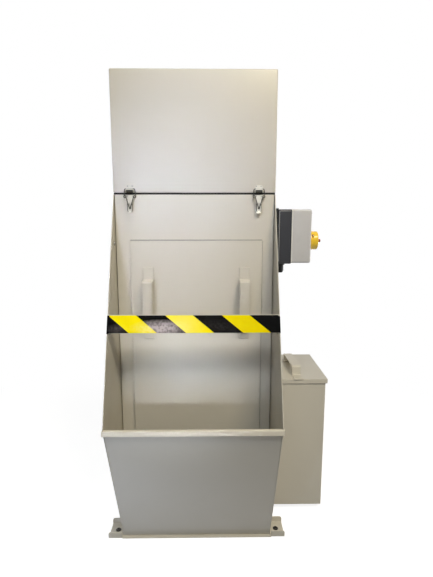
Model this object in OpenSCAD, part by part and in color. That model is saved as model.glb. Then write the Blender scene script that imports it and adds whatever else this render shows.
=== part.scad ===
// Wet dust collector: a sheet metal column with a water trough and side wings
// in front, a fan housing latched on top, a switch box and a water tank beside it.
// Millimetres, +Z up, front towards -Y. The origin is on the floor, at the
// middle of the rectangle of four floor bolt holes.

/* [Body] */
// Width of the column and of the housing on top
body_w = 610; // [500:5:760]
// Depth of the column and of the housing on top
body_d = 500; // [420:5:640]
// Overall height
total_h = 1840; // [1760:5:2300]
// Height of the joint between column and housing
seam_z = 1400; // [1330:5:1620]
// Thickness of the sheet
sheet_t = 3; // [2:0.5:5]
// Height of the opening under the column's front wall
air_slot_z = 380; // [300:5:440]

/* [Trough] */
// Height of the trough's rim
rim_z = 604; // [520:1:720]
// How far the rim stands in front of the column
rim_reach = 303; // [220:1:380]
// How far the trough's bottom edge stands in front of the column
toe_reach = 43; // [38:1:60]
// Height of the rolled rim
rim_h = 20; // [14:1:30]
// Depth of the rolled rim
rim_d = 14; // [12:1:20]

/* [Feet] */
// How far each end of a foot channel reaches beyond the body's side
foot_ear = 60; // [48:1:90]
// Depth of each foot channel, front to back
foot_d = 90; // [80:2:110]
// Height of the turned-up legs of a foot channel
foot_h = 29; // [20:1:40]
// Thickness of the foot channel
foot_t = 5; // [4:1:8]
// Distance of a bolt hole from the body's side
hole_out = 28; // [24:1:34]
// Diameter of the floor bolt holes
hole_d = 20; // [14:1:24]
// How far a foot's middle line stands outside the column's front or back
foot_out = 11; // [4:1:16]

/* [Hazard bar] */
// Height of the striped bar, along the slope of the wings
bar_h = 62; // [40:2:80]
// Height of the bar's middle line above the floor
bar_z = 940; // [900:5:980]

/* [Access panel] */
// Average margin between the access panel and the body's sides
panel_margin = 53; // [40:1:110]
// Height of its bottom edge
panel_bottom = 392; // [384:2:410]
// Height of its top edge
panel_top = 1226; // [1180:2:1250]
// How far the panel stands proud of the column
panel_proud = 14; // [12:1:20]
// How far the panel sits to the right of the column's middle
panel_shift = 5; // [0:1:8]
// Width of the frame left around the access opening, under the panel
opening_lap = 34; // [28:1:40]

/* [Strap handles] */
// Width of the strap
strap_w = 38; // [30:1:44]
// Thickness of the strap
strap_t = 5; // [4:0.5:6]
// Length over both feet
strap_l = 278; // [230:2:330]
// Length of each foot
strap_foot = 46; // [36:1:56]
// How far the grip stands off
strap_rise = 45; // [36:1:55]
// Distance of each panel handle's middle from the panel's edge
handle_in = 68; // [50:1:90]
// Height of the middle of the panel handles
handle_z = 984; // [960:2:1010]

/* [Latches] */
// Distance of each draw latch from the body's side
latch_in = 64; // [40:1:90]
// Distance of the lever's pivot below the seam
latch_drop = 28; // [26:1:34]
// Distance between the lever's pivot and the bail's pivot
latch_throw = 27; // [22:1:34]

/* [Switch box] */
// Height of the switch box
box_h = 204; // [160:2:240]
// Depth of the switch box, front to back
box_d = 120; // [100:2:150]
// How far the dark base stands out sideways
base_out = 50; // [40:1:60]
// How far the cover stands out beyond the base
cover_out = 75; // [60:1:85]
// Height of the middle of the switch box
box_z = 1240; // [1200:1:1290]
// Height of the rotary switch
knob_z = 1224; // [1200:1:1260]
// Diameter of the switch collar
knob_d = 75; // [60:1:80]
// Length of the switch collar
knob_l = 34; // [26:1:42]

/* [Side tank] */
// Width of the side tank
tank_w = 253; // [200:1:300]
// Depth of the side tank, front to back
tank_d = 331; // [270:1:400]
// How far the tank's front stands behind the column's front
tank_setback = 114; // [90:1:130]
// Height of the tank's underside
tank_bottom = 27; // [20:1:60]
// Height of the lid's top
tank_top = 625; // [560:5:680]
// Depth of the lid's skirt
skirt_h = 20; // [14:1:28]
// How far the lid's handle is set ahead of its middle
lid_handle_ahead = 36; // [0:1:45]
// Turn of the lid's handle, in degrees
lid_handle_turn = 2.5; // [0:0.5:5]

/* [Exhaust] */
// Outer diameter of the air outlet collar
duct_d = 200; // [160:5:250]
// How far the collar stands out
duct_l = 40; // [30:1:50]
// Height of the outlet's middle above the seam
duct_up = 220; // [190:5:260]

/* [Hidden] */
$fn = 48;

// Paint and trim
paint = [0.84, 0.81, 0.76];
bright = [0.80, 0.80, 0.78];
dark = [0.13, 0.13, 0.13];

// Main planes of the body
half_w = body_w / 2;
foot_l = body_w + 2 * foot_ear;
hole_span = body_w + 2 * hole_out;
latch_x = half_w - latch_in;
inner_w = half_w - sheet_t;
front_y = -body_d / 2;
back_y = body_d / 2;
rim_y = front_y - rim_reach;
toe_y = front_y - toe_reach;
wing_a = atan2(rim_reach, seam_z - rim_z);

// Seam gasket
gasket_t = 6;
gasket_w = 22;
gasket_inset = 2;
column_top = seam_z - gasket_t / 2;
housing_z = seam_z + gasket_t / 2;

// Panel, with its edges turned back and a rubber seal behind them
panel_w = body_w - 2 * panel_margin;
handle_x = panel_w / 2 - handle_in;
panel_face_y = front_y - panel_proud;
seal_t = 2.7;
seal_w = 20;
seal_gap = 0.3;
tray_y = front_y - seal_gap - seal_t;
open_x = panel_w / 2 - opening_lap;
open_z0 = panel_bottom + opening_lap;
open_z1 = panel_top - opening_lap;

// Latch: heights from the seam, and how far its pivots stand off the wall
wire_r = 1.75;
pin_r = 2.5;
run = 0.05;
pivot_off = 9;
hook_up = 17;
lever_half = 8;
ear_gap = 0.2;
ear_t = 2;
coil_x = 18;
coil_drop = 12;

// Switch box
spacer_t = 9;
spacer_over = 4;
cover_rise = 3;
box_front_y = front_y - 30;
box_y = box_front_y + box_d / 2;
base_x = half_w + spacer_t;
cover_x = base_x + base_out;
knob_x = cover_x + cover_out;
hub_r = 20;
hub_depth = 10;
hub_room = 1;
grip_out = 9;
grip_l = 56;
grip_h = 12;
gland_x = base_x + 19;
gland_r = 13;
gland_bore = 7;
gland_l = 39;

// Side tank
lid_gap = 5;
skirt_gap = 3;
tank_y0 = front_y + tank_setback;
tank_y1 = tank_y0 + tank_d;
tank_x = half_w + tank_w;
wall_top = tank_top - sheet_t;
lid_x = (half_w + lid_gap + tank_x + skirt_gap + sheet_t) / 2;

// Box given by its low and high corners
module block(lo, hi) {
    translate(lo) cube(hi - lo);
}

// Profile drawn in Y and Z, t thick along X from x
module across(x, t, outline) {
    translate([x, 0, 0]) rotate([90, 0, 90]) linear_extrude(t) polygon(outline);
}

// Round bar or bore along X
module rod_x(x0, x1, y, z, r) {
    translate([x0, y, z]) rotate([0, 90, 0]) cylinder(h = x1 - x0, r = r);
}

// Bar of radius r from a to b
module wire(a, b, r) {
    v = b - a;
    translate(a) rotate([0, acos(v.z / norm(v)), atan2(v.y, v.x)]) cylinder(h = norm(v), r = r, $fn = 24);
}

// Foot channel, web down, its legs standing only outside the body
module foot(y) {
    color(paint) translate([0, y, 0]) {
        difference() {
            block([-foot_l / 2, -foot_d / 2, 0], [foot_l / 2, foot_d / 2, foot_t]);
            for (s = [-1, 1])
                translate([s * hole_span / 2, 0, -1]) cylinder(h = foot_t + 2, d = hole_d);
        }
        for (s = [-1, 1], e = [-1, 1])
            scale([s, e, 1])
                block([half_w + 4, foot_d / 2 - foot_t, 0], [foot_l / 2, foot_d / 2, foot_h]);
    }
}

// Side plate of the column, trough and wing in one
module side_plate(x) {
    color(paint) difference() {
        across(x, sheet_t, [[back_y, foot_t], [toe_y, foot_t], [rim_y, rim_z],
            [front_y, column_top], [back_y, column_top]]);
        block([x - 1, rim_y - 1, rim_z - rim_h], [x + sheet_t + 1, rim_y + rim_d, rim_z]);
    }
}

// Outline of the trough's sloping front, whose top edge stands inside the rim
module trough_front_shape(x, t) {
    cover = 4;
    lean = sheet_t / cos(atan2(rim_reach - toe_reach, rim_z - foot_t));
    across(x, t, [[toe_y, foot_t], [toe_y + lean, foot_t],
        [rim_y + cover + lean, rim_z - cover], [rim_y + cover, rim_z - cover]]);
}

// Strap handle along Z on a plane that faces -Y, its middle at the origin
module strap() {
    half = strap_l / 2;
    slant = 2;
    up = strap_rise;
    t = strap_t;
    across(-strap_w / 2, strap_w, [[0, -half], [-t, -half], [-t, -half + strap_foot],
        [-up, -half + strap_foot + slant], [-up, half - strap_foot - slant],
        [-t, half - strap_foot], [-t, half], [0, half], [0, half - strap_foot - t],
        [-up + t, half - strap_foot - slant - t], [-up + t, -half + strap_foot + slant + t],
        [0, -half + strap_foot + t]]);
}

module panel_handle(s) {
    color(paint)
        translate([panel_shift + s * handle_x, panel_face_y, handle_z]) strap();
}

// Latch pieces are drawn around the point where the seam meets the wall's face
module at_latch(s) {
    translate([s * latch_x, front_y, seam_z]) children();
}

// Riveted keeper on the housing, with an upward hook for the bail
module keeper(s) {
    half = 14.5;
    hook_half = 13;
    plate_t = 2.5;
    lip_y = -pivot_off - 6;
    shelf_z = hook_up - wire_r - 0.3;
    color(bright) at_latch(s) {
        block([-half, -plate_t, gasket_t], [half, 0, hook_up + 14]);
        block([-hook_half, lip_y - 2, shelf_z - 3], [hook_half, 0, shelf_z]);
        block([-hook_half, lip_y - 2, shelf_z - 3], [hook_half, lip_y, hook_up + 0.5]);
    }
}

// Latch base with two ears and the bore of the lever's pin
module latch_base(s) {
    half = 13;
    ear_x = lever_half + ear_gap;
    color(bright) at_latch(s) {
        block([-half, -2, -latch_drop - 10], [half, 0, -5]);
        difference() {
            for (e = [-1, 1])
                scale([e, 1, 1])
                    block([ear_x, -pivot_off - 6, -latch_drop - 6],
                        [ear_x + ear_t, -1, -latch_drop + 6]);
            rod_x(-half, half, -pivot_off, -latch_drop, pin_r + run);
        }
    }
}

// Lever: a channel on its pin, with a finger tab at its lower end
module latch_lever(s) {
    top = -latch_drop + 5;
    end = -latch_drop - latch_throw - 14;
    face = -pivot_off - 6;
    color(bright) at_latch(s) {
        difference() {
            union() {
                block([-lever_half, face, end], [lever_half, face + 2, top]);
                for (e = [-1, 1])
                    scale([e, 1, 1])
                        block([lever_half - 2, face, end], [lever_half, -pivot_off + 4, top]);
                block([-lever_half, face - 5, end - 2], [lever_half, face + 2, end]);
            }
            rod_x(-lever_half - 1, lever_half + 1, -pivot_off,
                -latch_drop - latch_throw, wire_r + run);
        }
        rod_x(-lever_half - ear_t - 1, lever_half + ear_t + 1, -pivot_off, -latch_drop, pin_r);
    }
}

// Wire bail: a cross-wire in the hook, two coils, and a lower wire in the lever
module latch_bail(s) {
    low_x = lever_half + 3;
    low_z = -latch_drop - latch_throw;
    color(bright) at_latch(s) {
        rod_x(-coil_x - wire_r, coil_x + wire_r, -pivot_off, hook_up, wire_r);
        rod_x(-low_x - wire_r, low_x + wire_r, -pivot_off, low_z, wire_r);
        for (e = [-1, 1])
            scale([e, 1, 1]) {
                wire([coil_x, -pivot_off, hook_up], [coil_x, -pivot_off, -coil_drop], wire_r);
                wire([low_x, -pivot_off, low_z], [coil_x, -pivot_off, -coil_drop], wire_r);
                translate([coil_x, -pivot_off + 2, -coil_drop]) rotate([90, 0, 0])
                    cylinder(h = 4, r = 5.5);
            }
    }
}

module front_foot() { foot(front_y - foot_out); }

module rear_foot() { foot(back_y + foot_out); }

module left_side_plate() { side_plate(-half_w); }

module right_side_plate() { side_plate(inner_w); }

module back_wall() {
    color(paint) block([-inner_w, back_y - sheet_t, foot_t], [inner_w, back_y, column_top]);
}

// The front wall is four strips around the access opening
module front_strip(x0, x1, z0, z1) {
    color(paint) block([x0, front_y, z0], [x1, front_y + sheet_t, z1]);
}

module front_wall_upper() { front_strip(-inner_w, inner_w, open_z1, column_top); }

module front_wall_left() { front_strip(-inner_w, panel_shift - open_x, open_z0, open_z1); }

module front_wall_right() { front_strip(panel_shift + open_x, inner_w, open_z0, open_z1); }

module front_wall_lower() { front_strip(-inner_w, inner_w, air_slot_z, open_z0); }

module trough_front() {
    color(paint) trough_front_shape(-inner_w, 2 * inner_w);
}

// Rolled rim, open below for the trough's front and lapping both side plates
module trough_rim() {
    r = 5;
    color(paint) difference() {
        translate([-half_w - sheet_t, 0, 0]) rotate([90, 0, 90])
            linear_extrude(body_w + 2 * sheet_t) union() {
                translate([rim_y, rim_z - rim_h]) square([rim_d, rim_h - r]);
                translate([rim_y + r, rim_z - rim_h]) square([rim_d - 2 * r, rim_h]);
                for (c = [r, rim_d - r])
                    translate([rim_y + c, rim_z - r]) circle(r);
            }
        trough_front_shape(-inner_w, 2 * inner_w);
    }
}

module trough_floor() {
    color(paint) block([-inner_w, toe_y + 2 * sheet_t, foot_t],
        [inner_w, back_y - sheet_t, foot_t + sheet_t]);
}

// The bar lies on the sloping front edges of both wings
module on_wings() {
    translate([0, front_y - (seam_z - bar_z) * tan(wing_a), bar_z]) rotate([-wing_a, 0, 0])
        children();
}

// Its ends are dressed back towards the wings
module hazard_bar() {
    end = half_w - 10;
    edge = 0.6;
    color("gold") on_wings() translate([0, 0, -bar_h / 2]) linear_extrude(bar_h)
        polygon([[-half_w, 0], [-half_w, -edge], [-end, -sheet_t], [end, -sheet_t],
            [half_w, -edge], [half_w, 0]]);
}

// Angle brackets in the corners between the bar and the wings, lower than the bar
module bar_brackets() {
    leg = 30;
    low = -bar_h / 2 - 10;
    high = bar_h / 2 - 12;
    color(paint) on_wings() for (s = [-1, 1])
        scale([s, 1, 1]) {
            block([inner_w - leg, 0, low], [inner_w, sheet_t, high]);
            block([inner_w - sheet_t, 0, low], [inner_w, leg, high]);
        }
}

module access_panel() {
    color(paint) translate([panel_shift, 0, 0]) difference() {
        block([-panel_w / 2, panel_face_y, panel_bottom], [panel_w / 2, tray_y, panel_top]);
        block([-panel_w / 2 + sheet_t, panel_face_y + sheet_t, panel_bottom + sheet_t],
            [panel_w / 2 - sheet_t, tray_y + 1, panel_top - sheet_t]);
    }
}

module panel_seal() {
    half = panel_w / 2;
    color(dark) translate([panel_shift, 0, 0]) difference() {
        block([-half, tray_y, panel_bottom], [half, tray_y + seal_t, panel_top]);
        block([-half + seal_w, tray_y - 1, panel_bottom + seal_w],
            [half - seal_w, tray_y + seal_t + 1, panel_top - seal_w]);
    }
}

module panel_handle_left() { panel_handle(-1); }

module panel_handle_right() { panel_handle(1); }

module seam_gasket() {
    x = half_w - gasket_inset;
    y = back_y - gasket_inset;
    color(dark) difference() {
        block([-x, -y, column_top], [x, y, housing_z]);
        block([-x + gasket_w, -y + gasket_w, column_top - 1],
            [x - gasket_w, y - gasket_w, housing_z + 1]);
    }
}

housing_top_z = total_h - sheet_t;

module housing_front() {
    color(paint) block([-half_w, front_y, housing_z], [half_w, front_y + sheet_t, housing_top_z]);
}

module housing_left() {
    color(paint) block([-half_w, front_y + sheet_t, housing_z],
        [-inner_w, back_y - sheet_t, housing_top_z]);
}

module housing_right() {
    color(paint) block([inner_w, front_y + sheet_t, housing_z],
        [half_w, back_y - sheet_t, housing_top_z]);
}

// Back of the housing, with the hole of the air outlet
module housing_back() {
    color(paint) difference() {
        block([-half_w, back_y - sheet_t, housing_z], [half_w, back_y, housing_top_z]);
        translate([0, back_y - sheet_t - 1, seam_z + duct_up]) rotate([-90, 0, 0])
            cylinder(h = sheet_t + 2, d = duct_d - 2 * sheet_t, $fn = 96);
    }
}

module housing_top() {
    color(paint) block([-half_w, front_y, housing_top_z], [half_w, back_y, total_h]);
}

// Air outlet: a short round collar on a flange
module exhaust_collar() {
    flange = 18;
    color(paint) translate([0, back_y, seam_z + duct_up]) rotate([-90, 0, 0]) difference() {
        union() {
            cylinder(h = duct_l, d = duct_d, $fn = 96);
            cylinder(h = sheet_t, d = duct_d + 2 * flange, $fn = 96);
        }
        translate([0, 0, -1]) cylinder(h = duct_l + 2, d = duct_d - 2 * sheet_t, $fn = 96);
    }
}

module keeper_left() { keeper(-1); }

module latch_base_left() { latch_base(-1); }

module latch_lever_left() { latch_lever(-1); }

module latch_bail_left() { latch_bail(-1); }

module keeper_right() { keeper(1); }

module latch_base_right() { latch_base(1); }

module latch_lever_right() { latch_lever(1); }

module latch_bail_right() { latch_bail(1); }

module switch_spacer() {
    color(dark) block([half_w, box_front_y + spacer_over, box_z - box_h / 2 - spacer_over],
        [base_x, box_front_y + box_d - spacer_over, box_z + box_h / 2 + spacer_over]);
}

module switch_base() {
    color([0.25, 0.25, 0.26]) block([base_x, box_front_y, box_z - box_h / 2],
        [cover_x, box_front_y + box_d, box_z + box_h / 2]);
}

module switch_cover() {
    color([0.72, 0.71, 0.69]) block([cover_x, box_front_y, box_z - box_h / 2 + cover_rise],
        [knob_x, box_front_y + box_d, box_z + box_h / 2]);
}

// Cable gland under the base, its mouth empty
module switch_gland() {
    nut_h = 10;
    color(dark) translate([gland_x, box_y, box_z - box_h / 2 - gland_l]) difference() {
        union() {
            cylinder(h = gland_l, r = gland_r);
            translate([0, 0, gland_l - nut_h]) cylinder(h = nut_h, r = gland_r + 4, $fn = 6);
        }
        translate([0, 0, -1]) cylinder(h = gland_l - nut_h + 1, r = gland_bore);
    }
}

module switch_collar() {
    color([0.94, 0.75, 0.0]) difference() {
        rod_x(knob_x, knob_x + knob_l, box_y, knob_z, knob_d / 2);
        rod_x(knob_x + knob_l - hub_depth - hub_room, knob_x + knob_l + 1, box_y, knob_z,
            hub_r + hub_room);
    }
}

module switch_grip() {
    x = knob_x + knob_l;
    color([0.54, 0.16, 0.13]) {
        rod_x(x - hub_depth, x + hub_room, box_y, knob_z, hub_r);
        block([x + hub_room, box_y - grip_l / 2, knob_z - grip_h / 2],
            [x + grip_out, box_y + grip_l / 2, knob_z + grip_h / 2]);
    }
}

module tank_front() {
    color(paint) block([half_w, tank_y0, tank_bottom], [tank_x, tank_y0 + sheet_t, wall_top]);
}

module tank_back() {
    color(paint) block([half_w, tank_y1 - sheet_t, tank_bottom], [tank_x, tank_y1, wall_top]);
}

module tank_outer() {
    color(paint) block([tank_x - sheet_t, tank_y0 + sheet_t, tank_bottom],
        [tank_x, tank_y1 - sheet_t, wall_top]);
}

module tank_floor() {
    color(paint) block([half_w, tank_y0 + sheet_t, tank_bottom],
        [tank_x - sheet_t, tank_y1 - sheet_t, tank_bottom + sheet_t]);
}

// Loose lid with a skirt on its three free sides
module tank_lid() {
    out = skirt_gap + sheet_t;
    color(paint) difference() {
        block([half_w + lid_gap, tank_y0 - out, tank_top - skirt_h],
            [tank_x + out, tank_y1 + out, tank_top]);
        block([half_w, tank_y0 - skirt_gap, tank_top - skirt_h - 1],
            [tank_x + skirt_gap, tank_y1 + skirt_gap, wall_top]);
    }
}

module tank_handle() {
    color(paint) translate([lid_x - 5, (tank_y0 + tank_y1) / 2 - lid_handle_ahead, tank_top])
        rotate([0, 0, lid_handle_turn]) rotate([-90, 0, 0]) strap();
}

front_foot();
rear_foot();
left_side_plate();
right_side_plate();
back_wall();
front_wall_upper();
front_wall_left();
front_wall_right();
front_wall_lower();
trough_front();
trough_rim();
trough_floor();
hazard_bar();
bar_brackets();
access_panel();
panel_seal();
panel_handle_left();
panel_handle_right();
seam_gasket();
housing_front();
housing_left();
housing_right();
housing_back();
housing_top();
exhaust_collar();
keeper_left();
latch_base_left();
latch_lever_left();
latch_bail_left();
keeper_right();
latch_base_right();
latch_lever_right();
latch_bail_right();
switch_spacer();
switch_base();
switch_cover();
switch_gland();
switch_collar();
switch_grip();
tank_front();
tank_back();
tank_outer();
tank_floor();
tank_lid();
tank_handle();
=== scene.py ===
import math

import bmesh
import bpy
from mathutils import Matrix, Vector


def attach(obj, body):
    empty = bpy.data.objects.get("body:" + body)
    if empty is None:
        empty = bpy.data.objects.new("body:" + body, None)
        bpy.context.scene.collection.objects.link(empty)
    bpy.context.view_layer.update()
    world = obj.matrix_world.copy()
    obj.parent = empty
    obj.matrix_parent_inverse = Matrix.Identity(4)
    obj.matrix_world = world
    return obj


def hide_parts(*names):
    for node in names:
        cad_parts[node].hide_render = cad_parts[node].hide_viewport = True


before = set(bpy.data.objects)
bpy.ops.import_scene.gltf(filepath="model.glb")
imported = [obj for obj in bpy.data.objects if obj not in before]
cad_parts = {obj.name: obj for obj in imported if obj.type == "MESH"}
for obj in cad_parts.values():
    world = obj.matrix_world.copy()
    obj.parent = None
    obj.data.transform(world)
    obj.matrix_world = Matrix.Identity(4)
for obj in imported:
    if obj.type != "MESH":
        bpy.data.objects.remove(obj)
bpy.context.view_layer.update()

print("frame loaded:", len(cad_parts), "nodes")

# Lengths are in millimetres until a mesh is finished. The room comes first, then finishes, then pieces.
body = {
    "half": 305,
    "inner": 302,
    "front": -250,
    "back": 250,
    "sheet": 3,
    "foot": 5,  # underside of column and trough, on the feet
    "columnTop": 1397,
    "seam": 1400,
    "top": 1840,
    "rimY": -553,
    "rimBack": -539,
    "rimZ": 604,
    "rimLow": 584,
    "toeY": -293,
    "barZ": 940,
}
body["wingTilt"] = math.atan2(body["front"] - body["rimY"], body["seam"] - body["rimZ"])


def hexToLinear(code):
    parts = [int(code[k:k + 2], 16) / 255 for k in (1, 3, 5)]
    return [v / 12.92 if v <= 0.04045 else ((v + 0.055) / 1.055) ** 2.4 for v in parts] + [1.0]


def addNode(tree, kind, inputs=None, **settings):
    node = tree.nodes.new(kind)
    for name, value in settings.items():
        setattr(node, name, value)
    for key, value in (inputs or {}).items():
        if isinstance(value, bpy.types.NodeSocket):
            tree.links.new(value, node.inputs[key])
        else:
            node.inputs[key].default_value = value
    return node


# Camera
camera = {"place": (0.0594, -1.8863, 1.3044), "lens": 26.58, "down": 9.2, "turn": -0.8}

lensData = bpy.data.cameras.new("studioCamera")
lensData.lens = camera["lens"]
lensData.sensor_width = 36
cameraObject = bpy.data.objects.new("studioCamera", lensData)
cameraObject.location = camera["place"]
cameraObject.rotation_euler = [math.radians(v) for v in (90 - camera["down"], 0, camera["turn"])]
bpy.context.scene.collection.objects.link(cameraObject)
bpy.context.scene.camera = cameraObject
bpy.context.scene.view_settings.view_transform = "Standard"
print("camera set")


# Lamps, with sizes in metres. Strips overhead and faint beams from the front light what faces the camera, and
# low softboxes light the sides and the back
lamps = {
    "ceilingStrip": {"place": (0, -3.2, 4.0), "aim": (0, 0, 1.0), "size": (2.4, 0.4),
        "watts": 60, "tint": "#F4FAFF"},
    "rightStrip": {"place": (1.2, -2.2, 3.4), "aim": (0, 0, 1.0), "size": (1.0, 0.4),
        "watts": 46, "tint": "#FFF0CE"},
    "housingBeam": {"place": (-1.2, -3.4, 1.5), "aim": (-0.05, -0.25, 1.5), "size": (0.4, 0.2),
        "watts": 0.54, "tint": "#D4DFFF", "spread": 14},
    "panelBeam": {"place": (-1.2, -3.4, 1.6), "aim": (-0.08, -0.25, 1.1), "size": (0.3, 0.2),
        "watts": 0.28, "tint": "#E9EEFF", "spread": 14},
    "mouthBeam": {"place": (-0.3, -3.4, 0.95), "aim": (-0.05, -0.25, 0.72), "size": (0.3, 0.15),
        "watts": 0.228, "tint": "#E7F0FF", "spread": 12},
    "troughBeam": {"place": (-1.8, -2.6, 0.35), "aim": (-0.45, -0.5, 0.38), "size": (0.5, 0.4),
        "watts": 0.66, "tint": "#D4E2FF", "spread": 24},
    "leftSoftbox": {"place": (-3.6, 0.9, 0.3), "aim": (0, 0.1, 0.3), "size": (2.0, 0.5), "watts": 60},
    "rightSoftbox": {"place": (3.8, 0.9, 0.3), "aim": (0, 0.1, 0.3), "size": (2.0, 0.5), "watts": 60},
    "backSoftbox": {"place": (0.3, 3.8, 0.3), "aim": (0, 0, 0.3), "size": (2.4, 0.5), "watts": 60},
}


def addLamp(name, place, aim, size, watts, tint="#FFFFFF", spread=180):
    light = bpy.data.lights.new(name, "AREA")
    light.shape = "RECTANGLE"
    light.size, light.size_y = size
    light.energy = watts
    light.color = hexToLinear(tint)[:3]
    light.spread = math.radians(spread)
    lamp = bpy.data.objects.new(name, light)
    lamp.location = place
    lamp.rotation_euler = (Vector(aim) - Vector(place)).to_track_quat("-Z", "Y").to_euler()
    lamp.visible_camera = False
    lamp.visible_glossy = spread > 90
    bpy.context.scene.collection.objects.link(lamp)


for name, lamp in lamps.items():
    addLamp(name, **lamp)

# The room is white to the eye and in reflections, and a softer grey as the light that fills the shade. The
# floor is shaded near the object, and the shade fades to white over the reach, in millimetres
room = {
    "ambient": 0.04,
    "ambientTint": "#FFF9F0",
    "floorBounce": 0.35,
    "nearGlow": 0.8,
    "nearShade": 0.55,
    "nearReach": (1100, 2000),
}


# 1 for what the eye sees, straight or by mirror or through water, and 0 for the light that falls on surfaces
def seenRays(tree):
    rays = addNode(tree, "ShaderNodeLightPath")
    seen = rays.outputs["Is Camera Ray"]
    for kind in ("Is Glossy Ray", "Is Transmission Ray"):
        seen = addNode(tree, "ShaderNodeMath", {
            0: seen, 1: rays.outputs[kind]}, operation="MAXIMUM").outputs[0]
    return seen


world = bpy.data.worlds.new("studioRoom")
bpy.context.scene.world = world
world.use_nodes = True
tree = world.node_tree
tree.nodes.clear()
ambient = addNode(tree, "ShaderNodeBackground", {
    "Color": hexToLinear(room["ambientTint"]), "Strength": room["ambient"]})
white = addNode(tree, "ShaderNodeBackground", {"Color": (1, 1, 1, 1), "Strength": 1.0})
mixed = addNode(tree, "ShaderNodeMixShader", {0: seenRays(tree), 1: ambient.outputs[0], 2: white.outputs[0]})
addNode(tree, "ShaderNodeOutputWorld", {"Surface": mixed.outputs[0]})


def emptyMaterial(name):
    material = bpy.data.materials.new(name)
    material.use_nodes = True
    material.node_tree.nodes.clear()
    return material, material.node_tree


# One shader, and the place on the object that its patterns are laid by
def startMaterial(name, colour, roughness, metallic=0.0, **sockets):
    material, tree = emptyMaterial(name)
    inputs = {"Base Color": hexToLinear(colour), "Roughness": roughness, "Metallic": metallic}
    inputs.update(sockets)
    shader = addNode(tree, "ShaderNodeBsdfPrincipled", inputs)
    addNode(tree, "ShaderNodeOutputMaterial", {"Surface": shader.outputs[0]})
    return material, tree, shader, addNode(tree, "ShaderNodeTexCoord").outputs["Object"]


# Floor: matt white vinyl, plain white far off and shaded where the object stands
floorMaterial, tree = emptyMaterial("whiteVinylFloor")
spot = addNode(tree, "ShaderNodeTexCoord").outputs["Object"]
reach = addNode(tree, "ShaderNodeVectorMath", {0: spot}, operation="LENGTH")
far = addNode(tree, "ShaderNodeMapRange", {
    "Value": reach.outputs["Value"], "From Min": room["nearReach"][0] / 1000,
    "From Max": room["nearReach"][1] / 1000}, interpolation_type="SMOOTHSTEP")
bounce = addNode(tree, "ShaderNodeBsdfDiffuse", {"Color": [room["floorBounce"]] * 3 + [1]})
shown = addNode(tree, "ShaderNodeBsdfDiffuse", {"Color": [room["nearShade"]] * 3 + [1]})
glow = addNode(tree, "ShaderNodeEmission", {"Color": (1, 1, 1, 1), "Strength": room["nearGlow"]})
near = addNode(tree, "ShaderNodeAddShader", {0: shown.outputs[0], 1: glow.outputs[0]})
plain = addNode(tree, "ShaderNodeEmission", {"Color": (1, 1, 1, 1), "Strength": 1.0})
lit = addNode(tree, "ShaderNodeMixShader", {0: far.outputs[0], 1: near.outputs[0], 2: plain.outputs[0]})
mixed = addNode(tree, "ShaderNodeMixShader", {0: seenRays(tree), 1: bounce.outputs[0], 2: lit.outputs[0]})
addNode(tree, "ShaderNodeOutputMaterial", {"Surface": mixed.outputs[0]})

floorMesh = bpy.data.meshes.new("studioFloor")
floorMesh.from_pydata([(-30, -30, 0), (30, -30, 0), (30, 30, 0), (-30, 30, 0)], [], [(0, 1, 2, 3)])
floorMesh.materials.append(floorMaterial)
studioFloor = bpy.data.objects.new("studioFloor", floorMesh)
bpy.context.scene.collection.objects.link(studioFloor)
print("lamps and floor set")


# Powder coat over steel: baked polyester, so a soft gloss with faint orange peel, on sheet that is never
# quite flat. Widths and depths are in millimetres
powderCoat = {
    "colour": "#D5D0C4",
    "thin": "#CFCABD",
    "roughness": (0.30, 0.40),
    "peel": 6.0,  # real orange peel is 2 to 3 mm across, drawn coarser so that it shows
    "peelDepth": 0.02,
    "wave": 190,
    "waveDepth": 0.5,
    "patch": 260,
    "wipe": 71.43,
}


# Raises the surface by noise, over an earlier relief when one is given
def addRelief(tree, shader, place, grain, depth, detail, strength=1.0, below=None):
    noise = addNode(tree, "ShaderNodeTexNoise", {"Vector": place, "Scale": 1000 / grain, "Detail": detail})
    inputs = {"Height": noise.outputs["Fac"], "Distance": depth / 1000, "Strength": strength}
    if below:
        inputs["Normal"] = below.outputs[0]
    bump = addNode(tree, "ShaderNodeBump", inputs)
    tree.links.new(bump.outputs[0], shader.inputs["Normal"])
    return bump


def coatedFinish(name, coat):
    roughness = coat["roughness"]
    material, tree, shader, place = startMaterial(name, coat["colour"], sum(roughness) / 2, IOR=1.5)
    patch = addNode(tree, "ShaderNodeTexNoise", {
        "Vector": place, "Scale": 1000 / coat["patch"], "Detail": 3.0})
    tone = addNode(tree, "ShaderNodeMix", {
        0: patch.outputs["Fac"], 6: hexToLinear(coat["thin"]), 7: hexToLinear(coat["colour"])},
        data_type="RGBA")
    tree.links.new(tone.outputs[2], shader.inputs["Base Color"])
    wipe = addNode(tree, "ShaderNodeTexNoise", {"Vector": place, "Scale": 1000 / coat["wipe"], "Detail": 4.0})
    gloss = addNode(tree, "ShaderNodeMapRange", {
        "Value": wipe.outputs["Fac"], "From Min": 0.3, "From Max": 0.7,
        "To Min": roughness[0], "To Max": roughness[1]})
    tree.links.new(gloss.outputs[0], shader.inputs["Roughness"])
    broad = addRelief(tree, shader, place, coat["wave"], coat["waveDepth"], 1.0)
    addRelief(tree, shader, place, coat["peel"], coat["peelDepth"], 1.0, below=broad)
    return material


paint = coatedFinish("warmGreyPowderCoat", powderCoat)

# Weld runs under the same coat: ripples of the bead soften the shine, and their valleys are painted darker
# than their crests, a painted shade that follows the bead's relief
weldRun = {"valleyShade": "#C9C3B5", "crestLight": "#D6D1C6", "ripple": 4.0, "depth": 0.5}

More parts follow.
